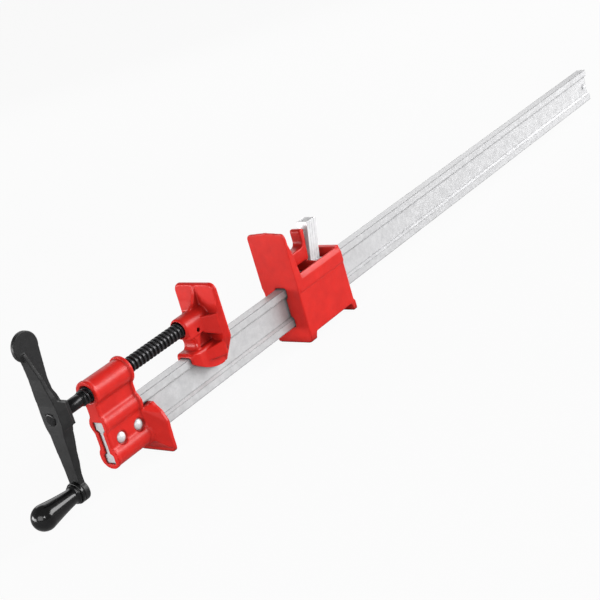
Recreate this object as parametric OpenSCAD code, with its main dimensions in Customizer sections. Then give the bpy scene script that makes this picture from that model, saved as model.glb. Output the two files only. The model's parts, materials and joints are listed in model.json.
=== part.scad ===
// Sash clamp on an I-section rail: cranked spindle, movable jaw, sliding jaw with clutch plates.
// X runs along the rail from the handle to the tail, Y across it, Z up from the bench.
// The origin is the middle of the fixed head's foot, on the bench and under the middle of the rail.

/* [Rail] */
// Length of the rail
rail_length = 1178; // [700:2:2000]
// Height of the I section
rail_h = 50; // [48:1:52]
// Width of the flanges
rail_w = 14; // [13:0.5:15]
// Thickness of the flanges at their edges
flange_t = 9.5; // [8.5:0.5:10]
// Thickness of the web
web_t = 6.2; // [5.8:0.2:6.6]
// Height of the rail's underside above the bench
rail_z = 22.5; // [22:0.5:24]

/* [Spindle] */
// Height of the spindle's axis above the rail's top
spindle_rise = 34.5; // [34:0.5:36]
// Outside diameter of the thread
thread_d = 18; // [17:0.5:18]
// Advance of the spindle in one turn
thread_pitch = 6; // [5:1:7]
// Depth of the thread
thread_depth = 2.1; // [1.5:0.1:2.2]

/* [Jaws] */
// Distance from the fixed head's handle-side face to the movable jaw's face
movable_reach = 200; // [196:1:240]
// Gap between the two jaw faces as the clamp stands
jaw_gap = 134; // [40:1:400]
// Height of the jaw faces' top above the bench
jaw_top = 145.5; // [143:0.5:150]

/* [Crank] */
// Distance from the spindle's axis to the grip's axis
crank_reach = 86.5; // [84:0.5:88]
// Length of the grip
grip_length = 64; // [62:1:80]
// Largest diameter of the grip
grip_d = 29; // [26:1:31]

/* [Clutch] */
// Lean of the clutch plates away from upright
plate_lean = 15; // [14:0.5:15.5]
// Thickness of one clutch plate
plate_t = 4.5; // [4.2:0.1:4.8]

/* [Hidden] */
$fn = 48;

cast_red = [0.83, 0.14, 0.11];
bright_steel = [0.78, 0.78, 0.80];
black_steel = [0.07, 0.07, 0.08];
cast_black = [0.16, 0.16, 0.17];
gloss_black = [0.03, 0.03, 0.03];

fit_gap = 0.05;                   // radial clearance of a running fit
press_gap = 0.02;                 // radial clearance of a pin that doesn't turn
slide_gap = 0.35;                 // clearance of the head and the movable jaw round the rail's flanges
box_gap = 1.1;                    // clearance of the sliding jaw's box round the flanges
neck_gap = 1.5;                   // clearance of a jaw beside the rail's web
head_gap = 0.4;                   // clearance of the fixed head beside the web
over = 1;                         // how far a cut runs past the face it opens

head_foot_t = 5;                  // thickness of the head's foot where it meets the bench
head_l = 73;                      // length of the fixed head from its handle side to its foot's face
head_back = head_foot_t / 2 - head_l;  // handle-side face of the head
head_front = head_back + head_l;
rail_start = head_back + 2;       // the rail's end sits a little inside the head
rail_end = rail_start + rail_length;
rail_top = rail_z + rail_h;
rail_mid = rail_z + rail_h / 2;
flange_slope = 2.6;               // how far a flange thickens from its edge to the web
stop_x = rail_end - 10;
stop_r = 3;
spindle_z = rail_top + spindle_rise;

// Fixed head
sleeve_l = 58;                    // length of the spindle boss and the sleeve round the rail
sleeve_front = head_back + sleeve_l;
head_boss_r = 15;
upper_bulge = [12.4, rail_top - 3.5];  // radius and height of the bulge round the upper flange
lower_bulge = [13.6, rail_z + 7.5];    // the same round the lower flange
head_neck = 7.5;                  // half width of the neck under the spindle boss
head_panel = 9;                   // half width of the flat panel with the rivets
head_fillet = 6;                  // hollow between the bulges of the head's outline
bead_l = 4;                       // length of the raised bead at each end
bead_h = [0.6, 2.2];              // how far the beads stand proud, at the handle and at the front
foot_half_w = 28;
flare_bottom = 5;                 // height of the flare's lower edge at the foot plate
head_bore_r = thread_d / 2 + fit_gap;
bore_flare = 2;                   // width and depth of the countersink at the spindle bore
rivet_x = [head_back + 19, head_back + 47];
rivet_z = rail_mid - 2;
rivet_r = 4;
rivet_head_r = 6.2;
rivet_head_h = 3.0;
recess_r = 7.8;
recess_floor = 7.4;               // half distance between the floors of opposite recesses
recess_l = 6;                     // length of the cut that opens a recess

// Spindle, from the crank to the nose
movable_face = head_back + movable_reach;
crank_face = head_back - 54;      // outer face of the crank
hub_face = crank_face + 19;       // inner face of the crank's hub
thread_start = head_back - 12;
thread_end = movable_face - 43;
neck_r = 7.5;
nose_r = 8;
nose_end = movable_face - 12;
groove_r = 5.4;
groove_w = 5.4;
tenon = 11.4;                     // side of the square tenon in the crank
swage_r = 7.4;                    // round end swaged over the crank's outer face
swage_l = 1.2;

// Movable jaw
plate_half_w = 31.5;
plate_bottom = rail_z + 24;       // lower end of the face plate, beside the rail's web
jaw_boss_r = 13;
jaw_boss_start = movable_face - 48;
boss_side_z = spindle_z - 13;     // lower end of the boss's flat sides
saddle_start = movable_face - 51;
saddle_half_w = 15;
saddle_top = rail_top + 5;
neck_half_w = 7;                  // half width of the neck between the saddle and the boss
neck_z = rail_top + 12.5;         // height at which the neck's hollow back is deepest
neck_hollow = 10;                 // radius of that hollow
rib_w = 5;
pin_x = movable_face - 29;
pin_z = spindle_z - 8;
pin_r = 2.5;
pin_l = 18.6;

// Sliding jaw
slide_face = movable_face + jaw_gap;
box_start = slide_face + 12.5;    // where the opening behind the face plate starts
box_rear = slide_face + 98;
box_half_w = 28;
band_half_w = 29;                 // half width of the proud band along the box's upper edge
box_wall = 4;
box_bottom = 9.5;
box_top = 88;
rear_wall = 8;
rear_top = 89.8;                  // top of the rear wall
front_foot = 12.5;
jaw_crown = 1.8;                  // rise of the plate's top edge in the middle
bridge_z = 106;                   // top of the bridge between the face plate and the thumb post
post_top = 128;
post_w = 16.4;
post_front = slide_face + 55;
post_rear = slide_face + 58.5;    // rear face of the post where it leaves the box

// Clutch plates, each placed by its pivot on the rail's top
plate_pitch = (plate_t + 0.1) / cos(plate_lean);
plate_x = slide_face + 60;
plate_gap = 0.15;                 // clearance above and below the rail
plate_pivot_z = rail_top + plate_gap + plate_t / 2 * sin(plate_lean);
plate_window = (rail_h + 2 * plate_gap + plate_t * sin(plate_lean)) / cos(plate_lean);
window_half_w = rail_w / 2 + 0.4;
plate_above = 60;                 // length of a plate above its pivot
plate_shoulder = 9;               // height of the wide frame above the pivot
frame_half_w = 15;
tongue_half_w = 8.4;
plate_bar = 8.4;                  // height of the bar under the rail

// Clutch spring
spring_z = 97;
spring_r = 3.4;                   // mean radius of the coil
wire_r = 0.6;
spring_l = 13;
spring_turns = 5;
plate_skin = plate_x - plate_t / 2 / cos(plate_lean);
spring_end = plate_skin + (spring_z - spring_r - wire_r - plate_pivot_z) * tan(plate_lean) - 0.2;
pocket_r = spring_r + wire_r + 1.9;
pocket_end = spring_end - spring_l - 5;  // room for the spring when the plates are squeezed

// Crank and grip
grip_z = spindle_z - crank_reach;
hub_half_w = 13;
hub_bottom = spindle_z - 13;
hub_top = spindle_z + 14;
boss_inner = crank_face + 7;      // inner face of the boss that carries the grip
boss_r = 12.5;
crank_web_w = 5;
paddle = [crank_face + 1.2, spindle_z + 84.3];
paddle_r = 16.4;
paddle_w = 5;
grip_start = crank_face - 0.2;
axle_r = 4;
axle_l = 42;                      // reach of the stud past the crank
ring_at = 36;                     // place of the snap ring along the stud
ring_wire = 0.6;
peen_r = 5.5;                     // riveted end of the stud
peen_h = 1.6;

// Points of an arc about a centre, from one angle to another
function arc(centre, r, a0, a1, n = 6) =
    [for (i = [0 : n]) centre + r * [cos(a0 + (a1 - a0) * i / n), sin(a0 + (a1 - a0) * i / n)]];

// A right-hand half outline completed by its mirror image in the vertical axis
function both_sides(half) =
    concat(half, [for (i = [len(half) - 1 : -1 : 0]) [-half[i][0], half[i][1]]]);

// Half of the rail's section, grown by gap at the flanges and by side beside the web
function rail_half(gap, side) = [
    [rail_w / 2 + gap, rail_z - gap],
    [rail_w / 2 + gap, rail_z + flange_t + gap],
    [web_t / 2 + side, rail_z + flange_t + flange_slope + gap],
    [web_t / 2 + side, rail_top - flange_t - flange_slope - gap],
    [rail_w / 2 + gap, rail_top - flange_t - gap],
    [rail_w / 2 + gap, rail_top + gap]
];

// Carries an outline drawn in (Y, Z) along X
module along_x(x0, x1) {
    translate([x0, 0, 0])
        rotate([90, 0, 90])
            linear_extrude(x1 - x0)
                children();
}

// Carries an outline drawn in (X, Z) across Y, centred on the rail
module across_y(width) {
    rotate([90, 0, 0])
        linear_extrude(width, center = true)
            children();
}

// A round bar or cone along X
module bar_x(x0, x1, z, r0, r1) {
    translate([x0, 0, z])
        rotate([0, 90, 0])
            cylinder(x1 - x0, r0, r1);
}

// A round bar across Y, centred on the rail
module bar_y(x, z, r, length) {
    translate([x, 0, z])
        rotate([90, 0, 0])
            cylinder(length, r = r, center = true);
}

// The opening that a casting needs to pass over the rail
module rail_passage(x0, x1, gap, side) {
    along_x(x0, x1)
        polygon(both_sides(rail_half(gap, side)));
}

module rail() {
    color(bright_steel)
    difference() {
        along_x(rail_start, rail_end)
            polygon(both_sides(rail_half(0, 0)));
        for (x = rivet_x)
            bar_y(x, rivet_z, rivet_r + fit_gap, rail_w);
        bar_y(stop_x, rail_mid, stop_r + press_gap, rail_w);
    }
}

module rail_stop_pin() {
    color(bright_steel)
    bar_y(stop_x, rail_mid, stop_r, rail_w - 1);
}

// Outline of the head: spindle boss above, a bulge round each flange, a flat panel between
module head_outline() {
    offset(r = -head_fillet)
        offset(delta = head_fillet)
            union() {
                translate([0, spindle_z])
                    circle(head_boss_r);
                translate([-head_neck, rail_top])
                    square([2 * head_neck, spindle_rise]);
                for (bulge = [upper_bulge, lower_bulge])
                    translate([0, bulge[1]])
                        circle(bulge[0]);
                translate([-head_panel, rail_z])
                    square([2 * head_panel, rail_h]);
            }
}

module head_bead(x0, height) {
    along_x(x0, x0 + bead_l)
        offset(r = height)
            head_outline();
}

// Outline of the foot plate: straight at the bench, stepping in up to the rail's top
module head_foot_outline() {
    corner = 4;
    polygon(both_sides(concat(arc([foot_half_w - 1 - corner, corner], corner, -90, 0, 4),
                              [[foot_half_w, 25], [foot_half_w + 1, 38], [foot_half_w - 4, 50],
                               [17, 57], [14, 61]])));
}

// Flare that carries the sleeve out into the foot plate, just inside the plate's outline
module head_flare() {
    plate_back = head_front - head_foot_t;
    hull() {
        along_x(sleeve_front - 4, sleeve_front - 3)
            translate([-head_panel - 1, rail_z + 1.5])
                square([2 * head_panel + 2, 36]);
        along_x(plate_back - 0.5, plate_back + 1)
            intersection() {
                offset(delta = -0.6)
                    head_foot_outline();
                translate([-foot_half_w, flare_bottom])
                    square([2 * foot_half_w, rail_top]);
            }
    }
}

module fixed_head() {
    color(cast_red)
    difference() {
        union() {
            along_x(head_back + 0.5, sleeve_front - 0.5)
                head_outline();
            head_bead(head_back, bead_h[0]);
            head_bead(sleeve_front - bead_l, bead_h[1]);
            along_x(head_front - head_foot_t, head_front)
                head_foot_outline();
            head_flare();
        }
        rail_passage(head_back - over, head_front + over, slide_gap, head_gap);
        bar_x(head_back - over, head_front + over, spindle_z, head_bore_r, head_bore_r);
        bar_x(head_back, head_back + bore_flare, spindle_z, head_bore_r + bore_flare, head_bore_r);
        for (x = rivet_x) {
            bar_y(x, rivet_z, rivet_r + fit_gap, 4 * head_panel);
            for (side = [-1, 1])
                translate([0, side * (recess_floor + recess_l / 2), 0])
                    bar_y(x, rivet_z, recess_r, recess_l);
        }
    }
}

// One domed rivet end, standing on the recess floor on the +Y side
module rivet_dome(x) {
    dome_r = (rivet_head_r * rivet_head_r + rivet_head_h * rivet_head_h) / (2 * rivet_head_h);
    translate([x, recess_floor, rivet_z])
        rotate([-90, 0, 0])
            intersection() {
                translate([0, 0, rivet_head_h - dome_r])
                    sphere(dome_r);
                cylinder(rivet_head_h + over, r = rivet_head_r);
            }
}

module head_rivets() {
    color(bright_steel)
    for (x = rivet_x) {
        bar_y(x, rivet_z, rivet_r, 2 * recess_floor + over);
        rivet_dome(x);
        mirror([0, 1, 0])
            rivet_dome(x);
    }
}

// Profile of the thread as [radius, distance] pairs: one groove in each pitch
function thread_profile() =
    let (r = thread_d / 2,
         root = thread_d / 2 - thread_depth,
         flank = thread_pitch * 0.2,
         land = thread_pitch * 0.3,
         count = floor((thread_end - thread_start - 1) / thread_pitch))
    [for (i = [0 : count - 1], k = [0 : 3])
        let (x = thread_start + 1 + i * thread_pitch + land)
        k == 0 ? [r, x]
        : k == 1 ? [root, x + flank]
        : k == 2 ? [root, x + flank + land]
        : [r, x + 2 * flank + land]];

module spindle() {
    shoulder = hub_face + fit_gap;
    profile = concat(
        [[0, shoulder], [neck_r, shoulder], [neck_r, thread_start], [thread_d / 2, thread_start + 1]],
        thread_profile(),
        [[thread_d / 2, thread_end - 0.5], [nose_r, thread_end + 0.5],
         [nose_r, pin_x - groove_w / 2], [groove_r, pin_x - groove_w / 2],
         [groove_r, pin_x + groove_w / 2], [nose_r, pin_x + groove_w / 2],
         [nose_r, nose_end - 2], [nose_r - 2, nose_end], [0, nose_end]]);
    color(black_steel)
    union() {
        translate([0, 0, spindle_z])
            rotate([0, 90, 0])
                rotate_extrude()
                    polygon(profile);
        translate([crank_face - fit_gap, -tenon / 2, spindle_z - tenon / 2])
            cube([hub_face - crank_face + over, tenon, tenon]);
        bar_x(crank_face - fit_gap - swage_l, crank_face - fit_gap, spindle_z, swage_r - 1, swage_r);
    }
}

// The crank seen from the front: half widths from the grip's boss up to the paddle
module crank_front() {
    half = [[8.3, grip_z], [8.6, grip_z + 24], [9.4, grip_z + 40], [10.4, grip_z + 50],
            [10.6, spindle_z - 20], [hub_half_w, hub_bottom + 1], [13.8, spindle_z - 7],
            [13.8, spindle_z + 8], [12.8, spindle_z + 25], [11, spindle_z + 35],
            [9.4, spindle_z + 48], [6.4, spindle_z + 65], [4.6, spindle_z + 79]];
    polygon(both_sides(half));
}

// The crank seen from the side: the outer edge upwards, then the inner edge back down
module crank_side() {
    polygon([for (p = [[0, grip_z], [0, hub_top + 2], [-1.7, spindle_z + 35], [-2.5, spindle_z + 48],
                       [-5.5, spindle_z + 65], [-8.5, spindle_z + 79], [-4, spindle_z + 79],
                       [-1, spindle_z + 65], [2, spindle_z + 48], [3.5, spindle_z + 35],
                       [6.5, spindle_z + 20], [14, hub_top], [15, hub_bottom - 2],
                       [13.7, spindle_z - 25], [10.6, spindle_z - 41], [9.8, spindle_z - 53],
                       [7.3, spindle_z - 67], [7, grip_z + boss_r], [7, grip_z]])
             [crank_face + p[0], p[1]]]);
}

// The thin web above the hub, from the paddle's inner edge down to the hub and back up the flange
module crank_web() {
    polygon([for (p = [[17, spindle_z + 83], [15, spindle_z + 63], [13, spindle_z + 43],
                       [13.8, spindle_z + 30], [17, spindle_z + 22], [18.5, spindle_z + 16],
                       [18.5, spindle_z], [4, spindle_z], [-3, spindle_z + 62], [-8, spindle_z + 76]])
             [crank_face + p[0], p[1]]]);
}

module crank() {
    hole = tenon / 2 + fit_gap;
    color(cast_black)
    difference() {
        union() {
            intersection() {
                along_x(crank_face - 12, hub_face)
                    crank_front();
                across_y(3 * hub_half_w)
                    crank_side();
            }
            translate([crank_face + 4, -hub_half_w, hub_bottom])
                cube([hub_face - crank_face - 4, 2 * hub_half_w, hub_top - hub_bottom]);
            across_y(crank_web_w)
                crank_web();
            translate([paddle[0], 0, paddle[1]])
                rotate([90, 0, 0])
                    cylinder(paddle_w, r = paddle_r, center = true);
            bar_x(crank_face, boss_inner, grip_z, boss_r, boss_r);
        }
        translate([crank_face - over, -hole, spindle_z - hole])
            cube([hub_face - crank_face + 2 * over, 2 * hole, 2 * hole]);
        bar_x(crank_face - over, boss_inner + over, grip_z, axle_r + press_gap, axle_r + press_gap);
    }
}

// Profile of the grip as [radius, distance from its collar]: two collar rings, neck, cone and ball
function grip_profile() =
    let (r = grip_d / 2, neck = 9, neck_at = 10, cone_r = r * cos(12), cone_at = grip_length - r - r * sin(12))
    concat([[0, 0], [11.6, 0], [12.4, 0.8], [12.4, 3.2], [11.6, 4], [10.2, 4.4],
            [11, 5], [11, 6.6], [9.6, 7.6], [neck, neck_at]],
           [for (i = [1 : 5]) let (t = i / 5)
               [neck + (cone_r - neck) * (t + 0.25 * t * (t - 1)), neck_at + (cone_at - neck_at) * t]],
           [for (a = [0 : 9 : 81]) [r * cos(a), grip_length - r + r * sin(a)]],
           [[0, grip_length]]);

module crank_grip() {
    color(gloss_black)
    translate([grip_start, 0, grip_z])
        rotate([0, -90, 0])
            difference() {
                rotate_extrude()
                    polygon(grip_profile());
                translate([0, 0, -over])
                    cylinder(axle_l + 2 * over, r = axle_r + fit_gap);
                translate([0, 0, ring_at - ring_wire - 0.3])
                    cylinder(2 * ring_wire + 0.6, r = axle_r + 1.3);
            }
}

module grip_axle() {
    color(bright_steel)
    union() {
        difference() {
            bar_x(grip_start - axle_l, boss_inner + 0.2, grip_z, axle_r, axle_r);
            translate([grip_start - ring_at, 0, grip_z])
                rotate([0, 90, 0])
                    rotate_extrude()
                        translate([axle_r - 0.8, -ring_wire - 0.15])
                            square([2, 2 * ring_wire + 0.3]);
        }
        bar_x(boss_inner + fit_gap, boss_inner + peen_h, grip_z, peen_r, peen_r - 1.6);
    }
}

// A split wire ring; its gap faces the bench
module grip_snap_ring() {
    color(black_steel)
    translate([grip_start - ring_at, 0, grip_z])
        rotate([0, 90, 0])
            difference() {
                rotate_extrude()
                    translate([axle_r + 0.05, 0])
                        circle(ring_wire);
                translate([0, -1, -2])
                    cube([8, 2, 4]);
            }
}

// The movable jaw's face plate, seen along the rail
module movable_plate_outline() {
    corner = 9;
    half = concat([[13.5, plate_bottom], [plate_half_w - 0.5, rail_top + 4.5],
                   [plate_half_w, rail_top + 7]],
                  arc([plate_half_w - corner, jaw_top - corner], corner, 0, 90));
    polygon(both_sides(half));
}

// The same plate seen from the side: thin at the top and thick beside the rail
module movable_plate_side() {
    polygon([[movable_face, plate_bottom - over], [movable_face, jaw_top + over],
             [movable_face - 5.4, jaw_top + over], [movable_face - 6, spindle_z + 16],
             [movable_face - 8, spindle_z - 12], [movable_face - 9, plate_bottom - over]]);
}

// The plate with the edges of its back sloping off
module movable_plate() {
    intersection() {
        hull() {
            along_x(movable_face - 3, movable_face)
                movable_plate_outline();
            along_x(movable_face - 10, movable_face - 9)
                offset(delta = -5)
                    movable_plate_outline();
        }
        across_y(2 * plate_half_w + over)
            movable_plate_side();
    }
}

// Rib up the middle of the plate's back
module movable_rib() {
    across_y(rib_w)
        polygon([[movable_face - 4, jaw_top - 3], [movable_face - 6, jaw_top - 3],
                 [movable_face - 9, spindle_z + 27], [movable_face - 15, spindle_z + 18],
                 [movable_face - 30, spindle_z + 11], [movable_face - 4, spindle_z]]);
}

// Wings that brace the boss against the plate's two sides, a little behind the boss's flat sides
module movable_wings() {
    hull() {
        along_x(movable_face - 22, movable_face - 21)
            translate([-jaw_boss_r + 1.5, spindle_z - 15])
                square([2 * jaw_boss_r - 3, 19]);
        along_x(movable_face - 9, movable_face - 6)
            translate([-27.5, spindle_z - 23])
                square([55, 26]);
    }
}

// Saddle over the rail's top flange: its underside falls in a curve towards the face plate
module movable_saddle() {
    depth = saddle_top - plate_bottom;
    shoulder = 5;
    plan = [[saddle_start, saddle_half_w - 3], [saddle_start + 10, saddle_half_w],
            [movable_face, saddle_half_w]];
    intersection() {
        along_x(saddle_start, movable_face - 5)
            polygon(both_sides(concat([[saddle_half_w, plate_bottom]],
                                      arc([saddle_half_w - shoulder, saddle_top - shoulder],
                                          shoulder, 0, 90, 4))));
        across_y(2 * saddle_half_w + over)
            polygon(concat([for (t = [0 : 1/6 : 1])
                                [saddle_start + 43 * t, plate_bottom + (depth - 12) * pow(1 - t, 2)]],
                           [[movable_face, plate_bottom], [movable_face, saddle_top],
                            [saddle_start + 3, saddle_top], [saddle_start, saddle_top - 3]]));
        translate([0, 0, plate_bottom])
            linear_extrude(depth)
                polygon(concat(plan, [for (i = [2 : -1 : 0]) [plan[i][0], -plan[i][1]]]));
    }
}

// Neck between the saddle and the boss: broad at the handle side, slim beside the plate
module movable_neck() {
    across_y(2 * neck_half_w)
        polygon(concat(arc([saddle_start + 5, neck_z], neck_hollow, -75, 75),
                       [[jaw_boss_start + 2, spindle_z - 6], [movable_face - 5, spindle_z - 6],
                        [movable_face - 5, rail_top + 3]]));
    across_y(2 * jaw_boss_r - 3)
        polygon(concat(arc([saddle_start + 6, neck_z], neck_hollow, -75, 70),
                       [[movable_face - 25, boss_side_z + 0.5], [movable_face - 29, rail_top + 14],
                        [movable_face - 33, saddle_top - 2.5]]));
    translate([jaw_boss_start + 3, -jaw_boss_r, boss_side_z])
        cube([pin_x + pin_r + 2 - jaw_boss_start, 2 * jaw_boss_r, spindle_z - boss_side_z]);
}

// Skirt from the saddle's sides out to the face plate
module movable_skirt() {
    hull() {
        along_x(movable_face - 34, movable_face - 33)
            translate([-saddle_half_w + 1, rail_top - 12])
                square([2 * saddle_half_w - 2, 12]);
        along_x(movable_face - 9, movable_face - 6)
            translate([-25, rail_top - 14])
                square([50, 17]);
    }
}

module movable_jaw() {
    cavity_r = thread_d / 2 + 1.5;
    rim = 2.5;
    color(cast_red)
    difference() {
        union() {
            movable_plate();
            bar_x(jaw_boss_start, jaw_boss_start + rim, spindle_z, jaw_boss_r - rim + 0.7, jaw_boss_r);
            bar_x(jaw_boss_start + rim, movable_face - 5, spindle_z, jaw_boss_r, jaw_boss_r);
            movable_rib();
            movable_wings();
            movable_saddle();
            movable_neck();
            movable_skirt();
        }
        rail_passage(saddle_start - over, movable_face + over, slide_gap, neck_gap);
        bar_x(jaw_boss_start - over, thread_end + 1.5, spindle_z, cavity_r, cavity_r);
        bar_x(jaw_boss_start, nose_end + 0.5, spindle_z, nose_r + fit_gap, nose_r + fit_gap);
        bar_y(pin_x, pin_z, pin_r + press_gap, 3 * jaw_boss_r);
    }
}

module jaw_retaining_pin() {
    color(black_steel)
    bar_y(pin_x, pin_z, pin_r, pin_l);
}

// The sliding jaw's face plate, seen along the rail
module sliding_plate_outline() {
    corner = 5;
    foot_corner = 3.5;
    half = concat(arc([box_half_w - 1 - foot_corner, foot_corner], foot_corner, -90, 0, 4),
                  [[box_half_w, box_bottom], [box_half_w, rail_top - 4], [band_half_w, rail_top + 1]],
                  arc([band_half_w - corner, jaw_top - corner], corner, 0, 80), [[0, jaw_top + jaw_crown]]);
    polygon(both_sides(half));
}

// The same plate seen from the side: thin at the top, thick at the box, a foot at the bench
module sliding_plate_side() {
    polygon([[slide_face, 0], [slide_face + front_foot, 0], [slide_face + front_foot, box_bottom - 4],
             [box_start + 2, box_bottom + 2], [box_start, box_top], [slide_face + 8, box_top + 32],
             [slide_face + 4.8, box_top + 42], [slide_face + 3.6, jaw_top + jaw_crown + over],
             [slide_face, jaw_top + jaw_crown + over]]);
}

// One side wall of the box, with the proud band along its upper edge
module box_side() {
    inner = box_half_w - box_wall;
    along_x(slide_face + 5, box_rear)
        polygon([[inner, box_bottom], [box_half_w - 1, box_bottom], [box_half_w, box_bottom + 1],
                 [box_half_w, rail_top - 6.5], [band_half_w, rail_top - 5],
                 [band_half_w, box_top - 7], [band_half_w - 2.5, box_top], [inner, box_top]]);
}

// The bridge behind the face plate and the thumb post that stands on it
module thumb_post() {
    hollow = 12;
    root = 7;
    floor_z = box_top + 1;
    across_y(post_w)
        polygon(concat([[slide_face + 5, floor_z], [slide_face + 5, bridge_z + hollow]],
                       arc([slide_face + 9 + hollow, bridge_z + hollow], hollow, 180, 270),
                       arc([post_front - root, bridge_z + root], root, -90, 0),
                       arc([post_front + 3, post_top - 3], 3, 180, 90, 3),
                       [[post_rear + 2, post_top], [post_rear + 4.8, post_top - 2],
                        [post_rear, floor_z]]));
}

// The wall across the box under the thumb post
module bulkhead() {
    translate([post_front - 2, -box_half_w + box_wall - over, rail_top + 1])
        cube([3.4, 2 * (box_half_w - box_wall + over), box_top - 2 - rail_top]);
}

// The rear foot, a little behind the box's rear wall
module rear_foot() {
    across_y(2 * box_half_w)
        polygon([[box_rear - 5, 0], [box_rear + 3, 0], [box_rear + 3, box_bottom + 1],
                 [box_rear, box_bottom + 5], [box_rear - rear_wall, box_bottom + 5]]);
}

module sliding_jaw() {
    color(cast_red)
    difference() {
        union() {
            intersection() {
                along_x(slide_face, box_start + 3)
                    sliding_plate_outline();
                across_y(2 * band_half_w + over)
                    sliding_plate_side();
            }
            box_side();
            mirror([0, 1, 0])
                box_side();
            translate([box_rear - rear_wall, -box_half_w + 1, box_bottom])
                cube([rear_wall, 2 * box_half_w - 2, rear_top - box_bottom]);
            rear_foot();
            bulkhead();
            thumb_post();
        }
        rail_passage(slide_face - over, box_rear + 5, box_gap, neck_gap);
        bar_x(pocket_end, post_rear + 8, spring_z, pocket_r, pocket_r);
    }
}

// A clutch plate leaning on its pivot: tongue above, frame round the rail below
module clutch_plate(index) {
    translate([plate_x + (index - 1) * plate_pitch, 0, plate_pivot_z])
        rotate([0, plate_lean, 0])
            along_x(-plate_t / 2, plate_t / 2)
                difference() {
                    union() {
                        translate([-tongue_half_w, 0])
                            square([2 * tongue_half_w, plate_above]);
                        translate([-frame_half_w, -plate_window - plate_bar])
                            square([2 * frame_half_w, plate_window + plate_bar + plate_shoulder]);
                    }
                    translate([-window_half_w, -plate_window])
                        square([2 * window_half_w, plate_window]);
                }
}

module clutch_plate_1() {
    color(bright_steel)
    clutch_plate(1);
}

module clutch_plate_2() {
    color(bright_steel)
    clutch_plate(2);
}

module clutch_plate_3() {
    color(bright_steel)
    clutch_plate(3);
}

module clutch_plate_4() {
    color(bright_steel)
    clutch_plate(4);
}

// A round wire wound along X: rings of points joined by quads, closed by two end faces
module coil(length, r, wire, turns) {
    sides = 6;
    steps = 16 * turns;
    points = [for (i = [0 : steps], k = [0 : sides - 1])
        let (a = 360 * turns * i / steps, b = 360 * k / sides, q = r + wire * cos(b))
        [(length - 2 * wire) * i / steps + wire + wire * sin(b), q * cos(a), q * sin(a)]];
    walls = [for (i = [0 : steps - 1], k = [0 : sides - 1])
        let (m = (k + 1) % sides)
        [i * sides + k, i * sides + m, (i + 1) * sides + m, (i + 1) * sides + k]];
    polyhedron(points, concat(walls, [[for (k = [sides - 1 : -1 : 0]) k]],
                              [[for (k = [0 : sides - 1]) steps * sides + k]]));
}

module clutch_spring() {
    color(bright_steel)
    translate([spring_end - spring_l, 0, spring_z])
        coil(spring_l, spring_r, wire_r, spring_turns);
}

rail();
rail_stop_pin();
fixed_head();
head_rivets();
spindle();
crank();
crank_grip();
grip_axle();
grip_snap_ring();
movable_jaw();
jaw_retaining_pin();
sliding_jaw();
clutch_plate_1();
clutch_plate_2();
clutch_plate_3();
clutch_plate_4();
clutch_spring();
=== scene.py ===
"""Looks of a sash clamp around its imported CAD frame: castings, rail, screw, grip, clutch, studio."""

import json
import math

import bpy
from mathutils import Matrix, Vector


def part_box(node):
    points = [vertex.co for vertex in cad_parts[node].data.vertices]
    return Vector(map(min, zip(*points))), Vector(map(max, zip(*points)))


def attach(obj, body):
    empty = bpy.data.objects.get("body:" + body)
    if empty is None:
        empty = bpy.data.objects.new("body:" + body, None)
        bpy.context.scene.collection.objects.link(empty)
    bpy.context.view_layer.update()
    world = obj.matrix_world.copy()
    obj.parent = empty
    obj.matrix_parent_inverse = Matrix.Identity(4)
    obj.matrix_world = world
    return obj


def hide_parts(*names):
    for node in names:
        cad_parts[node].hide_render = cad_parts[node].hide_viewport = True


MM = 0.001

# Spindle, as in the CAD: lengths along it
PITCH = 6 * MM
SWAGE_L = 1.2 * MM
TENON_L = 19 * MM
THREAD_START_GAP = 43.25 * MM  # from the swaged end to the start of the thread
THREAD_END_GAP = 31 * MM       # from the end of the thread to the spindle's nose
NOSE_TO_GROOVE = 17 * MM       # from the nose to the middle of the groove
GROOVE_W = 5.4 * MM

# Its radii, the half width of its square tenon, and how far the tenon's corners reach in half widths
SWAGE_R = 7.4 * MM
TENON_HALF = 5.7 * MM
TENON_CORNER = 1.34
NECK_R = 7.5 * MM
THREAD_DEPTH = 2.1 * MM
NOSE_R = 8 * MM
GROOVE_R = 5.4 * MM

# Its turned edges: millimetres along from a place, and from a radius
SWAGE_EDGE = ((0, -2.2), (0.25, -1.0), (0.7, -0.2), (1.2, 0))
NECK_EDGE = ((0.05, -0.6), (0.65, 0))
NECK_END = ((-1.2, 0), (-0.5, -0.3))
NOSE_SHOULDER = ((1.0, -0.5), (1.6, 0))
NOSE_END = ((-2, 0), (0, -2))
THREAD_END = 0.3 * MM
GROOVE_CHAMFER = 0.4 * MM
TENON_STEP = 0.01 * MM

# Thread over one pitch, as (share of the pitch, share of the depth): land, flank, root, flank
THREAD_FORM = ((0.0, 1.0), (0.22, 1.0), (0.30, 0.93), (0.44, 0.10), (0.52, 0.0),
               (0.70, 0.0), (0.78, 0.10), (0.92, 0.93), (1.0, 1.0))
THREAD_FADE = 0.6 * PITCH      # over this length the thread runs in and out
THREAD_FIRST_SHARE = 0.25      # share of the depth with which the thread begins
ROWS_PER_PITCH = 24
SPINDLE_SEGMENTS = 72
SPINDLE_SHARP = 50             # degrees from which an edge is shaded sharp

# Grip: its bore and the slot of the snap ring
BORE_R = 4.05 * MM
BORE_L = 43 * MM
BORE_CHAMFER = 0.4 * MM
BORE_CONE = 1.5 * MM
RING_AT = 36 * MM
RING_SLOT_R = 5.3 * MM
RING_SLOT_HALF = 0.9 * MM

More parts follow.
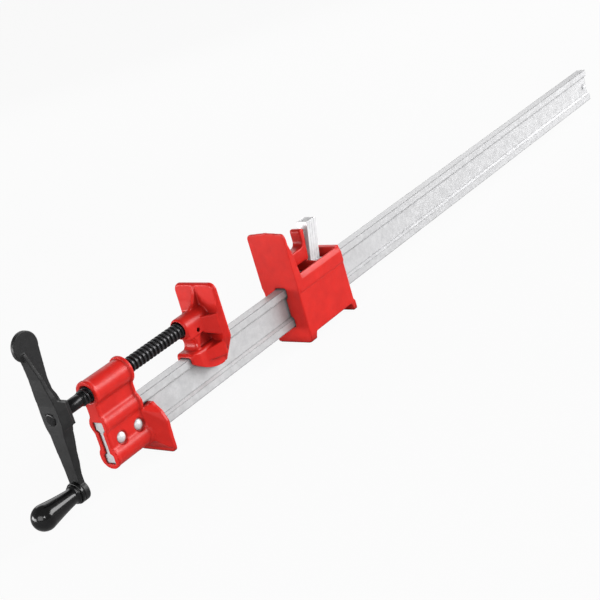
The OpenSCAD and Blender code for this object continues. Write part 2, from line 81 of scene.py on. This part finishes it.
# Its outside, as (distance from the crank's side, radius): two collar rings with round edges, then a
# slim neck
COLLAR_ROUND = 0.9 * MM
COLLAR_FACE_R = 11.4 * MM
COLLAR_EDGES = ((0.9 * MM, 11.5 * MM), (3.1 * MM, 11.5 * MM))
COLLAR_GAP = [(4.1 * MM, 10.5 * MM), (4.4 * MM, 10.2 * MM)]
SECOND_RING = (5.8 * MM, 10.1 * MM)
NECK_LEAD = [(7.4 * MM, 9.5 * MM), (8.4 * MM, 9.15 * MM)]
GRIP_NECK_AT = 10 * MM
GRIP_NECK_R = 9 * MM

# Its cone, hollowed a little, meets the ball at a tangent; angles in degrees
CONE_STEPS = 20
CONE_HOLLOW = 0.25
TANGENT = 12
BALL_END = 3                   # where the ball's rows stop, short of its pole
BALL_STEPS = 30
GRIP_SEGMENTS = 80
GRIP_SHARP = 38

# Casting edges: grid of the remesh and how many times it is relaxed
CASTINGS = {"fixed_head": (0.75 * MM, 7), "movable_jaw": (0.65 * MM, 12),
            "sliding_jaw": (0.85 * MM, 7), "crank": (0.55 * MM, 5)}
RELAX_SHARE = 0.5

# Steel pieces whose edges are rounded, and how much. Angles are in degrees: an edge sharper than
# STEEL_SHARP is rounded, and faces within FLAT_ANGLE are first joined into one
ROUNDED_STEEL = ("rail", "clutch_plate_1", "clutch_plate_2", "clutch_plate_3", "clutch_plate_4")
STEEL_ROUND = 0.45 * MM
STEEL_SEGMENTS = 3
STEEL_SHARP = 25
FLAT_ANGLE = 1
NORMAL_WEIGHT = 100

# Points closer than this are one point
WELD_GAP = 0.002 * MM

# Where most of a noise's values lie, and where on the thread's height the crest's rubbed wear and
# painted highlight begin
SPREAD = (0.3, 0.7)
CREST_WEAR_AND_HIGHLIGHT_FROM = 0.55

# Sockets of the colour mix node
MIX_SHARE, MIX_FIRST, MIX_SECOND, MIX_RESULT = 0, 6, 7, 2

# Area lights: direction from the clamp, distance, width and height in metres, power in watts
LIGHTS = {
    "key": ((0.72, -0.61, 0.33), 3.2, (3.4, 1.3), 118),
    "front": ((-0.92, -0.22, 0.32), 1.9, (1.2, 0.9), 12),
    "handle_side": ((-0.78, 0.62, 0.05), 1.8, (1.4, 0.5), 22),
    "spot": ((-0.62, -0.72, 0.42), 2.2, (0.35, 0.35), 8),
    "far_side": ((0.62, 0.70, 0.40), 2.4, (2.6, 1.2), 13),
}

# Camera: place, direction and roll in degrees, lens and sensor in millimetres, nearest and farthest
CAMERA_AT = Vector((-0.9381, -1.1203, 0.6465))
CAMERA_HEADING = 42.30
CAMERA_DOWN = 19.89
CAMERA_ROLL = 16.43
CAMERA_LENS = 84.97
CAMERA_SENSOR = 36
CAMERA_CLIP = (0.01, 50)

# Floor: half its side, how far it lies under the clamp, the size of its mottle, and the share of its
# own pale glow in what the camera sees; the surround behind it glows as much for the camera
FLOOR_HALF = 8.0
FLOOR_DROP = 0.2 * MM
FLOOR_MOTTLE = 0.6
FLOOR_GLOW = 0.94

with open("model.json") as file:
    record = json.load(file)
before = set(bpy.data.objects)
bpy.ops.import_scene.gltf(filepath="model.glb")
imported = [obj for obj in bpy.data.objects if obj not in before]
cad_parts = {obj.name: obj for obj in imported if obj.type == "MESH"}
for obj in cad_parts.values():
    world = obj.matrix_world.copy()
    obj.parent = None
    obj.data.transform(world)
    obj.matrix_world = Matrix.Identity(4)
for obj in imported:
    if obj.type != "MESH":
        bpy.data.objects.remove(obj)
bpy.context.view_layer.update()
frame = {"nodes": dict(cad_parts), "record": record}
NODES = frame["nodes"]


# ---------------------------------------------------------------- mesh tools

def add_piece(name, vertices, faces, body, replaced, sharp):
    """Makes a mesh object that rides on a body and stands for a CAD node; sharp is in degrees."""
    mesh = bpy.data.meshes.new(name)
    mesh.from_pydata([tuple(v) for v in vertices], [], faces)
    mesh.update()
    for polygon in mesh.polygons:
        polygon.use_smooth = True
    mesh.set_sharp_from_angle(angle=math.radians(sharp))
    piece = bpy.data.objects.new(name, mesh)
    bpy.context.scene.collection.objects.link(piece)
    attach(piece, body)
    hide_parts(replaced)
    return piece


def axis_and_radius(node):
    """Height of the axis and radius of a round node that lies along X."""
    low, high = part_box(node)
    return (low.z + high.z) / 2, (high.z - low.z) / 2


def turned(rows, axis_z, segments):
    """A solid turned about an axis along X.

    A row is (x, radius), and the radius is a length or a function of the angle.
    """
    vertices = []
    rings = []
    for x, radius in rows:
        if radius == 0:
            rings.append([len(vertices)] * segments)
            vertices.append(Vector((x, 0, axis_z)))
            continue
        ring = []
        for i in range(segments):
            angle = 2 * math.pi * i / segments
            r = radius(angle) if callable(radius) else radius
            ring.append(len(vertices))
            vertices.append(Vector((x, r * math.cos(angle), axis_z + r * math.sin(angle))))
        rings.append(ring)
    faces = []
    for low, high in zip(rings, rings[1:]):
        for i in range(segments):
            k = (i + 1) % segments
            corners = [low[i], high[i], high[k], low[k]]
            kept = [c for n, c in enumerate(corners) if c not in corners[:n]]
            if len(kept) > 2:
                faces.append(kept)
    return vertices, faces


def arc_rows(centre_x, centre_r, radius, start, stop, count):
    """Rows along an arc in the (x, radius) plane, angles in degrees from the X direction."""
    rows = []
    for i in range(count + 1):
        angle = math.radians(start + (stop - start) * i / count)
        rows.append((centre_x + radius * math.cos(angle), centre_r + radius * math.sin(angle)))
    return rows


def edge_rows(place, radius, profile):
    """Rows of a turned edge: its profile, in millimetres, counted from a place and a radius."""
    return [(place + along * MM, radius + out * MM) for along, out in profile]


def tenon_radius(angle):
    """Radius of the square tenon at an angle round it, its corners taken off a little."""
    reach = TENON_HALF / max(abs(math.cos(angle)), abs(math.sin(angle)))
    return min(reach, TENON_HALF * TENON_CORNER)


# ---------------------------------------------------------------- shaped pieces

def thread_height(turn):
    """Share of the thread's depth at a share of one pitch."""
    for (t0, h0), (t1, h1) in zip(THREAD_FORM, THREAD_FORM[1:]):
        if turn <= t1:
            return h0 + (h1 - h0) * (turn - t0) / (t1 - t0)
    return 1.0


def build_spindle():
    """The spindle with a right-hand helical thread, its neck, nose, groove and swaged end."""
    low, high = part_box("spindle")
    axis_z, crest = axis_and_radius("spindle")
    root = crest - THREAD_DEPTH
    start = low.x + THREAD_START_GAP
    end = high.x - THREAD_END_GAP
    crank_face = low.x + SWAGE_L
    hub_face = crank_face + TENON_L

    def thread_radius(x):
        def radius(angle):
            turn = (x / PITCH - angle / (2 * math.pi)) % 1.0
            fade_in = min(1.0, max(0.0, (x - start) / THREAD_FADE))
            fade_out = min(1.0, max(0.0, (end - x) / THREAD_FADE))
            begun = min(1.0, THREAD_FIRST_SHARE + (1 - THREAD_FIRST_SHARE) * fade_in)
            return root + THREAD_DEPTH * (thread_height(turn) * begun * fade_out)
        return radius

    rows = [(low.x, 0)]
    rows += edge_rows(low.x, SWAGE_R, SWAGE_EDGE)
    rows += [(crank_face + TENON_STEP, tenon_radius), (hub_face, tenon_radius)]
    rows += edge_rows(hub_face, NECK_R, NECK_EDGE)
    rows += edge_rows(start, NECK_R, NECK_END)
    step = PITCH / ROWS_PER_PITCH
    count = int((end - start) / step)
    rows += [(start + step * i, thread_radius(start + step * i)) for i in range(count + 1)]
    rows.append((end + THREAD_END, root))
    rows += edge_rows(end, NOSE_R, NOSE_SHOULDER)
    near = high.x - NOSE_TO_GROOVE - GROOVE_W / 2
    far = high.x - NOSE_TO_GROOVE + GROOVE_W / 2
    rows += [(near - GROOVE_CHAMFER, NOSE_R), (near, NOSE_R - GROOVE_CHAMFER), (near, GROOVE_R)]
    rows += [(far, GROOVE_R), (far, NOSE_R - GROOVE_CHAMFER), (far + GROOVE_CHAMFER, NOSE_R)]
    rows += edge_rows(high.x, NOSE_R, NOSE_END)
    rows.append((high.x, 0))
    vertices, faces = turned(rows, axis_z, SPINDLE_SEGMENTS)
    return add_piece("spindle_screw", vertices, faces, "spindle", "spindle",
                     SPINDLE_SHARP)


def build_grip():
    """The turning grip: two collar rings, a slim neck, a cone and a ball end, bored for its stud."""
    low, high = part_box("crank_grip")
    axis_z, ball_r = axis_and_radius("crank_grip")
    length = high.x - low.x
    ball_x = length - ball_r
    cone_r = ball_r * math.cos(math.radians(TANGENT))
    cone_at = ball_x - ball_r * math.sin(math.radians(TANGENT))

    near_edge, far_edge = COLLAR_EDGES
    outside = [(0, BORE_R + BORE_CHAMFER), (0, COLLAR_FACE_R)]
    outside += arc_rows(*near_edge, COLLAR_ROUND, 180, 90, 5)
    outside += arc_rows(*far_edge, COLLAR_ROUND, 90, 0, 5)
    outside += COLLAR_GAP
    outside += arc_rows(*SECOND_RING, COLLAR_ROUND, 165, 15, 8)
    outside += NECK_LEAD + [(GRIP_NECK_AT, GRIP_NECK_R)]
    for i in range(1, CONE_STEPS):
        t = i / CONE_STEPS
        swell = t + CONE_HOLLOW * t * (t - 1)
        outside.append((GRIP_NECK_AT + (cone_at - GRIP_NECK_AT) * t,
                        GRIP_NECK_R + (cone_r - GRIP_NECK_R) * swell))
    outside += arc_rows(ball_x, 0, ball_r, 90 + TANGENT, BALL_END, BALL_STEPS)
    outside.append((length, 0))
    slot_near, slot_far = RING_AT - RING_SLOT_HALF, RING_AT + RING_SLOT_HALF
    inside = [(BORE_L, 0), (BORE_L - BORE_CONE, BORE_R)]
    inside += [(slot_far, BORE_R), (slot_far, RING_SLOT_R)]
    inside += [(slot_near, RING_SLOT_R), (slot_near, BORE_R)]
    inside += [(BORE_CHAMFER, BORE_R)]
    rows = [(high.x - distance, radius) for distance, radius in inside + outside]
    vertices, faces = turned(rows, axis_z, GRIP_SEGMENTS)
    outward = [face[::-1] for face in faces]
    return add_piece("grip_handle", vertices, outward, "grip", "crank_grip",
                     GRIP_SHARP)


def weld(piece):
    """Joins the CAD mesh's doubled points, which the next modifiers need."""
    modifier = piece.modifiers.new("weld", "WELD")
    modifier.merge_threshold = WELD_GAP


def soften_casting(node, voxel, passes):
    """Rounds a casting's edges and fills its corners: a fine remesh, then relaxed."""
    casting = NODES[node]
    weld(casting)
    remesh = casting.modifiers.new("remesh", "REMESH")
    remesh.mode = "VOXEL"
    remesh.voxel_size = voxel
    remesh.use_smooth_shade = True
    relax = casting.modifiers.new("relax", "SMOOTH")
    relax.factor = RELAX_SHARE
    relax.iterations = passes


def round_edges(node):
    """Takes the sharp edges off a rolled or punched steel piece."""
    piece = NODES[node]
    weld(piece)
    flatten = piece.modifiers.new("flatten", "DECIMATE")
    flatten.decimate_type = "DISSOLVE"
    flatten.angle_limit = math.radians(FLAT_ANGLE)
    bevel = piece.modifiers.new("bevel", "BEVEL")
    bevel.width = STEEL_ROUND
    bevel.segments = STEEL_SEGMENTS
    bevel.limit_method = "ANGLE"
    bevel.angle_limit = math.radians(STEEL_SHARP)
    bevel.harden_normals = False
    normals = piece.modifiers.new("normals", "WEIGHTED_NORMAL")
    normals.keep_sharp = False
    normals.weight = NORMAL_WEIGHT


def smooth_coil(node):
    """Smooths the facets of a wound wire, by one level of subdivision."""
    coil = NODES[node]
    weld(coil)
    finer = coil.modifiers.new("finer", "SUBSURF")
    finer.levels = 1
    finer.render_levels = 1


# ---------------------------------------------------------------- materials

class Shader:
    """One node material. Each method adds nodes and returns the socket to use next."""

    def __init__(self, name):
        self.material = bpy.data.materials.new(name)
        self.material.use_nodes = True
        self.tree = self.material.node_tree
        self.tree.nodes.clear()
        self.place = self.add("ShaderNodeTexCoord").outputs["Object"]

    def add(self, kind, values=None, **settings):
        """Adds a node; values go to its inputs, as links where they are sockets."""
        node = self.tree.nodes.new(kind)
        for key, value in settings.items():
            setattr(node, key, value)
        for key, value in (values or {}).items():
            if isinstance(value, bpy.types.NodeSocket):
                self.tree.links.new(value, node.inputs[key])
            else:
                node.inputs[key].default_value = value
        return node

    def noise(self, size, detail=3.0, stretch=(1, 1, 1), distortion=0.0):
        """Noise with features of about this size in metres; stretch makes them longer along an axis."""
        scale = [1 / (size * s) for s in stretch]
        place = self.add("ShaderNodeMapping", {"Vector": self.place, "Scale": scale}).outputs[0]
        values = {"Vector": place, "Scale": 1.0, "Detail": detail, "Roughness": 0.55,
                  "Distortion": distortion}
        return self.add("ShaderNodeTexNoise", values).outputs["Fac"]

    def level(self, value, low, high, out_low=0.0, out_high=1.0):
        """Stretches the range low to high into out_low to out_high."""
        values = {"Value": value, "From Min": low, "From Max": high,
                  "To Min": out_low, "To Max": out_high}
        return self.add("ShaderNodeMapRange", values).outputs["Result"]

    def times(self, a, b):
        return self.add("ShaderNodeMath", {0: a, 1: b}, operation="MULTIPLY").outputs[0]

    def plus(self, a, b):
        return self.add("ShaderNodeMath", {0: a, 1: b}, operation="ADD").outputs[0]

    def mix(self, share, first, second):
        """Colour between first and second."""
        colour = [c if isinstance(c, bpy.types.NodeSocket) else (*c, 1.0) for c in (first, second)]
        values = {MIX_SHARE: share, MIX_FIRST: colour[0], MIX_SECOND: colour[1]}
        return self.add("ShaderNodeMix", values, data_type="RGBA").outputs[MIX_RESULT]

    def over(self, colour, mask, strength, top):
        """Lays the top colour over another where mask is 1, at this strength."""
        return self.mix(self.times(mask, strength), colour, top)

    def edges(self, radius, low=0.04, high=0.30):
        """1 along the piece's outer and inner edges, 0 on its flats."""
        rounded = self.add("ShaderNodeBevel", {"Radius": radius}, samples=6).outputs["Normal"]
        flat = self.add("ShaderNodeNewGeometry").outputs["Normal"]
        agree = self.add("ShaderNodeVectorMath", {0: rounded, 1: flat}, operation="DOT_PRODUCT")
        return self.level(agree.outputs["Value"], 1 - low, 1 - high)

    def hollows(self, reach, open_above=0.9, deep_below=0.25):
        """1 deep in corners and valleys, 0 on open faces."""
        occlusion = self.add("ShaderNodeAmbientOcclusion", {"Distance": reach}, samples=8)
        return self.level(occlusion.outputs["AO"], open_above, deep_below)

    def bump(self, height, depth, strength, normal=None):
        """Raises the surface by a height map of this depth in metres."""
        values = {"Height": height, "Distance": depth, "Strength": strength}
        if normal is not None:
            values["Normal"] = normal
        return self.add("ShaderNodeBump", values).outputs["Normal"]

    def finish(self, colour, roughness, normal, metallic=0.0, **extra):
        """Ends the material in a Principled shader."""
        values = {"Base Color": colour, "Roughness": roughness, "Normal": normal, "Metallic": metallic}
        values.update({key.replace("_", " "): value for key, value in extra.items()})
        shader = self.add("ShaderNodeBsdfPrincipled", values)
        output = self.add("ShaderNodeOutputMaterial")
        self.tree.links.new(shader.outputs[0], output.inputs["Surface"])
        return self.material


def red_coat():
    """Satin red coat on a sand-cast surface: fine grain, soft waves, edges lighter by a thin coat and a
    painted highlight, painted shade in valleys and creases.

    To light that bounces on it looks duller, so that the bright steel next to it stays neutral.
    """
    # Lighter edge colour: partly a thin coat, partly painted highlight; the two darkest colours:
    # painted shade for valleys and creases
    deep, bright, grainy = (0.70, 0.011, 0.007), (0.80, 0.016, 0.010), (0.86, 0.08, 0.055)
    thin_coat_and_highlight, painted_valley_shade, painted_crease_shade = (0.90, 0.12, 0.09), (0.20, 0.003, 0.002), (0.025, 0.002, 0.002)
    dull = (0.12, 0.09, 0.09)
    s = Shader("red_coat")
    waves = s.noise(16 * MM, detail=2.0)
    grain = s.noise(1.1 * MM, detail=4.0)
    colour = s.mix(s.level(waves, *SPREAD), deep, bright)
    colour = s.mix(s.level(grain, 0.35, 0.8, out_high=0.14), colour, grainy)
    # Lighter edges: partly a thin coat, partly painted highlight
    patches = s.level(s.noise(5 * MM), 0.35, 0.65, out_low=0.15, out_high=0.75)
    edge_wear_and_highlight_share = s.times(s.edges(1.6 * MM), patches)
    colour = s.over(colour, edge_wear_and_highlight_share, strength=0.45, top=thin_coat_and_highlight)
    # Painted shade in valleys and recesses
    colour = s.over(colour, s.hollows(15 * MM), strength=0.8, top=painted_valley_shade)
    # Painted shade in creases and narrow gaps
    crease_shade_mask = s.hollows(3.5 * MM, open_above=0.8, deep_below=0.4)
    colour = s.over(colour, crease_shade_mask, strength=0.85, top=painted_crease_shade)
    path = s.add("ShaderNodeLightPath")
    glossy = s.times(path.outputs["Is Glossy Ray"], 0.5)
    bounced = s.plus(path.outputs["Is Diffuse Ray"], glossy)
    colour = s.over(colour, bounced, strength=0.85, top=dull)
    roughness = s.level(s.noise(6 * MM), *SPREAD, out_low=0.33, out_high=0.46)
    normal = s.bump(waves, depth=0.9 * MM, strength=0.35)
    normal = s.bump(grain, depth=0.10 * MM, strength=0.55, normal=normal)
    return s.finish(colour, roughness, normal, Specular_IOR_Level=0.30,
                    Coat_Weight=0.10, Coat_Roughness=0.25)


def rail_steel():
    """Bright-plated rolled section: cloudy spangle, long rolling marks, painted shade along its edges
    and in its corners.
    """
    grey, pale, spangled = (0.70, 0.70, 0.71), (0.80, 0.80, 0.81), (0.63, 0.635, 0.645)
    # The two dark colours are painted shade, along the edges and in the corners
    painted_edge_shading, painted_corner_shade = (0.10, 0.10, 0.105), (0.16, 0.16, 0.17)
    s = Shader("rail_steel")
    cloud = s.noise(9 * MM, detail=4.0, distortion=0.6)
    spangle = s.noise(2.2 * MM, detail=2.0)
    rolling = s.noise(0.9 * MM, stretch=(60, 1, 1))
    colour = s.mix(s.level(cloud, *SPREAD), grey, pale)
    colour = s.mix(s.level(spangle, 0.45, 0.75, out_high=0.35), colour, spangled)
    # Painted shade along the edges and in the corners
    colour = s.over(colour, s.edges(2.2 * MM, low=0.015, high=0.12), strength=0.85, top=painted_edge_shading)
    colour = s.over(colour, s.hollows(6 * MM), strength=0.7, top=painted_corner_shade)
    roughness = s.plus(s.level(cloud, *SPREAD, out_low=0.32, out_high=0.46),
                       s.level(rolling, *SPREAD, out_low=-0.04, out_high=0.05))
    normal = s.bump(rolling, depth=0.05 * MM, strength=0.4)
    normal = s.bump(cloud, depth=0.12 * MM, strength=0.25, normal=normal)
    return s.finish(colour, roughness, normal, metallic=0.35)


def bright_steel():
    """Ground and plated steel of the clutch plates, rivets and pins."""
    grey, pale = (0.84, 0.84, 0.85), (0.95, 0.95, 0.96)
    # The two dark colours are painted shade, along the edges and in the corners
    painted_edge_shading, painted_corner_shade = (0.20, 0.20, 0.205), (0.25, 0.25, 0.26)
    s = Shader("bright_steel")
    brushed = s.noise(0.5 * MM, stretch=(1, 30, 1))
    cloud = s.noise(5 * MM)
    colour = s.mix(s.level(cloud, *SPREAD), grey, pale)
    # Painted shade along the edges and in the corners
    colour = s.over(colour, s.edges(0.6 * MM), strength=0.6, top=painted_edge_shading)
    colour = s.over(colour, s.hollows(3 * MM), strength=0.5, top=painted_corner_shade)
    roughness = s.level(brushed, *SPREAD, out_low=0.42, out_high=0.55)
    normal = s.bump(brushed, depth=0.03 * MM, strength=0.45)
    return s.finish(colour, roughness, normal, metallic=0.45)


def black_steel(axis_z=0.0, root=0.0, crest=0.0):
    """Blackened and oiled steel; as a screw it is brighter from the radius root to crest, partly rubbed
    wear and partly painted highlight.
    """
    black, sheen, crest_wear_and_highlight = (0.003, 0.003, 0.0033), (0.008, 0.008, 0.009), (0.05, 0.05, 0.053)
    metallic = 0.2
    s = Shader("black_screw" if crest else "black_steel")
    film = s.noise(3 * MM, detail=4.0)
    tool_marks = s.noise(0.4 * MM, detail=2.0, stretch=(1, 8, 8))
    colour = s.mix(s.level(film, *SPREAD), black, sheen)
    if crest:
        from_axis = s.add("ShaderNodeVectorMath", {0: s.place, 1: (0, 0, axis_z)},
                          operation="SUBTRACT").outputs[0]
        across = s.add("ShaderNodeVectorMath", {0: from_axis, 1: (0, 1, 1)},
                       operation="MULTIPLY").outputs[0]
        radius = s.add("ShaderNodeVectorMath", {0: across}, operation="LENGTH").outputs["Value"]
        # Brighter towards the crest: partly rubbed wear, partly painted highlight
        crest_wear_and_highlight_share = s.level(radius, root + CREST_WEAR_AND_HIGHLIGHT_FROM * (crest - root), crest)
        colour = s.mix(crest_wear_and_highlight_share, colour, crest_wear_and_highlight)
        metallic = s.level(crest_wear_and_highlight_share, 0, 1, out_low=metallic, out_high=0.5)
    roughness = s.level(film, *SPREAD, out_low=0.20, out_high=0.32)
    normal = s.bump(tool_marks, depth=0.04 * MM, strength=0.4)
    return s.finish(colour, roughness, normal, metallic, Specular_IOR_Level=0.35)


def black_cast():
    """Dark satin paint on the cast crank, with a coarser grain than the red castings."""
    black, sheen = (0.004, 0.004, 0.0043), (0.009, 0.009, 0.0096)
    bare_edge_and_highlight, painted_corner_shade = (0.13, 0.13, 0.135), (0.006, 0.006, 0.006)
    s = Shader("black_cast")
    grain = s.noise(0.9 * MM, detail=4.0)
    waves = s.noise(12 * MM, detail=2.0)
    colour = s.mix(s.level(waves, *SPREAD), black, sheen)
    # Lighter edges: partly worn paint, partly painted highlight
    patches = s.level(s.noise(3 * MM), 0.35, 0.7, out_low=0.1, out_high=0.8)
    edge_wear_and_highlight_share = s.times(s.edges(1.2 * MM), patches)
    colour = s.over(colour, edge_wear_and_highlight_share, strength=0.7, top=bare_edge_and_highlight)
    # Painted shade in the corners
    colour = s.over(colour, s.hollows(7 * MM), strength=0.5, top=painted_corner_shade)
    roughness = s.level(s.noise(4 * MM), *SPREAD, out_low=0.40, out_high=0.52)
    normal = s.bump(waves, depth=0.7 * MM, strength=0.3)
    normal = s.bump(grain, depth=0.12 * MM, strength=0.7, normal=normal)
    return s.finish(colour, roughness, normal, Specular_IOR_Level=0.45)


def black_plastic():
    """Glossy moulded grip with a faint moulding ripple and fine handling marks."""
    black, sheen, painted_edge_shading = (0.003, 0.003, 0.0033), (0.006, 0.006, 0.0065), (0.03, 0.03, 0.032)
    s = Shader("black_plastic")
    ripple = s.noise(9 * MM, detail=1.0)
    marks = s.noise(0.35 * MM, detail=2.0, stretch=(14, 1, 1))
    colour = s.mix(s.level(ripple, *SPREAD), black, sheen)
    # Painted highlight along the edges
    colour = s.over(colour, s.edges(0.7 * MM), strength=0.5, top=painted_edge_shading)
    roughness = s.level(marks, 0.35, 0.75, out_low=0.12, out_high=0.24)
    normal = s.bump(ripple, depth=0.25 * MM, strength=0.25)
    return s.finish(colour, roughness, normal, Specular_IOR_Level=0.35,
                    Coat_Weight=0.15, Coat_Roughness=0.08)


def paint(obj, material):
    """Gives every material slot of a piece this material."""
    if not obj.data.materials:
        obj.data.materials.append(material)
    for index in range(len(obj.data.materials)):
        obj.data.materials[index] = material


# ---------------------------------------------------------------- studio

def add_floor():
    """A plain pale floor, lit softly, that runs past the edge of every view."""
    half = FLOOR_HALF
    grey, pale = (0.60, 0.60, 0.60), (0.62, 0.62, 0.62)
    mesh = bpy.data.meshes.new("floor")
    corners = [(-half, -half, 0), (half, -half, 0), (half, half, 0), (-half, half, 0)]
    mesh.from_pydata(corners, [], [(0, 1, 2, 3)])
    floor = bpy.data.objects.new("floor", mesh)
    floor.location.z = -FLOOR_DROP
    bpy.context.scene.collection.objects.link(floor)
    s = Shader("floor_white")
    mottle = s.noise(FLOOR_MOTTLE, detail=2.0)
    colour = s.mix(s.level(mottle, *SPREAD), grey, pale)
    diffuse = s.add("ShaderNodeBsdfDiffuse", {"Color": colour}).outputs[0]
    glow = s.add("ShaderNodeEmission", {"Color": (1, 1, 1, 1), "Strength": 1.0}).outputs[0]
    seen = s.add("ShaderNodeLightPath").outputs["Is Camera Ray"]
    blend = s.add("ShaderNodeMixShader", {"Fac": s.times(seen, FLOOR_GLOW)})
    s.tree.links.new(diffuse, blend.inputs[1])
    s.tree.links.new(glow, blend.inputs[2])
    output = s.add("ShaderNodeOutputMaterial")
    s.tree.links.new(blend.outputs[0], output.inputs["Surface"])
    mesh.materials.append(s.material)


def add_light(name, target, towards, distance, size, power):
    """A rectangular soft light that stands off from target in the direction towards, and faces it."""
    data = bpy.data.lights.new(name, "AREA")
    data.shape = "RECTANGLE"
    data.size, data.size_y = size
    data.energy = power
    light = bpy.data.objects.new(name, data)
    away = Vector(towards).normalized()
    light.location = Vector(target) + away * distance
    light.rotation_mode = "QUATERNION"
    light.rotation_quaternion = away.to_track_quat("Z", "Y")
    light.visible_camera = False
    bpy.context.scene.collection.objects.link(light)


def add_world(fill, sheen):
    """A plain surround: fill lights matt surfaces and shiny ones reflect sheen.

    The camera sees it almost as pale as the floor, so that the floor's far edge shows only faintly.
    """
    world = bpy.data.worlds.new("surround")
    world.use_nodes = True
    tree = world.node_tree
    background = tree.nodes["Background"]
    background.inputs["Color"].default_value = (1, 1, 1, 1)
    path = tree.nodes.new("ShaderNodeLightPath")
    strength = tree.nodes.new("ShaderNodeMapRange")
    tree.links.new(path.outputs["Is Glossy Ray"], strength.inputs["Value"])
    strength.inputs["To Min"].default_value = fill
    strength.inputs["To Max"].default_value = sheen
    pale = tree.nodes.new("ShaderNodeMath")
    pale.operation = "MAXIMUM"
    seen = tree.nodes.new("ShaderNodeMath")
    seen.operation = "MULTIPLY"
    seen.inputs[1].default_value = FLOOR_GLOW
    tree.links.new(path.outputs["Is Camera Ray"], seen.inputs[0])
    tree.links.new(seen.outputs[0], pale.inputs[0])
    tree.links.new(strength.outputs["Result"], pale.inputs[1])
    tree.links.new(pale.outputs[0], background.inputs["Strength"])
    bpy.context.scene.world = world


def add_camera():
    """A camera at the viewing place, turned to its heading, tipped down and rolled."""
    heading = math.radians(CAMERA_HEADING)
    down = math.radians(CAMERA_DOWN)
    ahead = Vector((math.cos(heading) * math.cos(down), math.sin(heading) * math.cos(down),
                    -math.sin(down)))
    data = bpy.data.cameras.new("camera")
    data.lens = CAMERA_LENS
    data.sensor_width = CAMERA_SENSOR
    data.clip_start, data.clip_end = CAMERA_CLIP
    camera = bpy.data.objects.new("camera", data)
    level = ahead.to_track_quat("-Z", "Y").to_matrix()
    roll = Matrix.Rotation(math.radians(-CAMERA_ROLL), 3, "Z")
    camera.matrix_world = Matrix.Translation(CAMERA_AT) @ (level @ roll).to_4x4()
    bpy.context.scene.collection.objects.link(camera)
    bpy.context.scene.camera = camera


# ---------------------------------------------------------------- assembly

spindle = build_spindle()
grip = build_grip()

for node, (voxel, passes) in CASTINGS.items():
    soften_casting(node, voxel, passes)
for node in ROUNDED_STEEL:
    round_edges(node)
smooth_coil("clutch_spring")

finishes = {make.__name__: make() for make in
            (red_coat, rail_steel, bright_steel, black_steel, black_cast, black_plastic)}
for subpart in frame["record"]["subparts"]:
    paint(NODES[subpart["node"]], finishes[subpart["material_slot"]])
screw_z, screw_r = axis_and_radius("spindle")
paint(spindle, black_steel(screw_z, screw_r - THREAD_DEPTH, screw_r))
paint(grip, finishes["black_plastic"])

add_floor()
head_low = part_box("fixed_head")[0]
jaw_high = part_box("sliding_jaw")[1]
middle = (head_low + jaw_high) / 2
for name, (towards, distance, size, power) in LIGHTS.items():
    add_light(name, middle, towards, distance, size, power)
add_world(fill=0.07, sheen=0.24)
add_camera()
bpy.context.scene.view_settings.view_transform = "Standard"
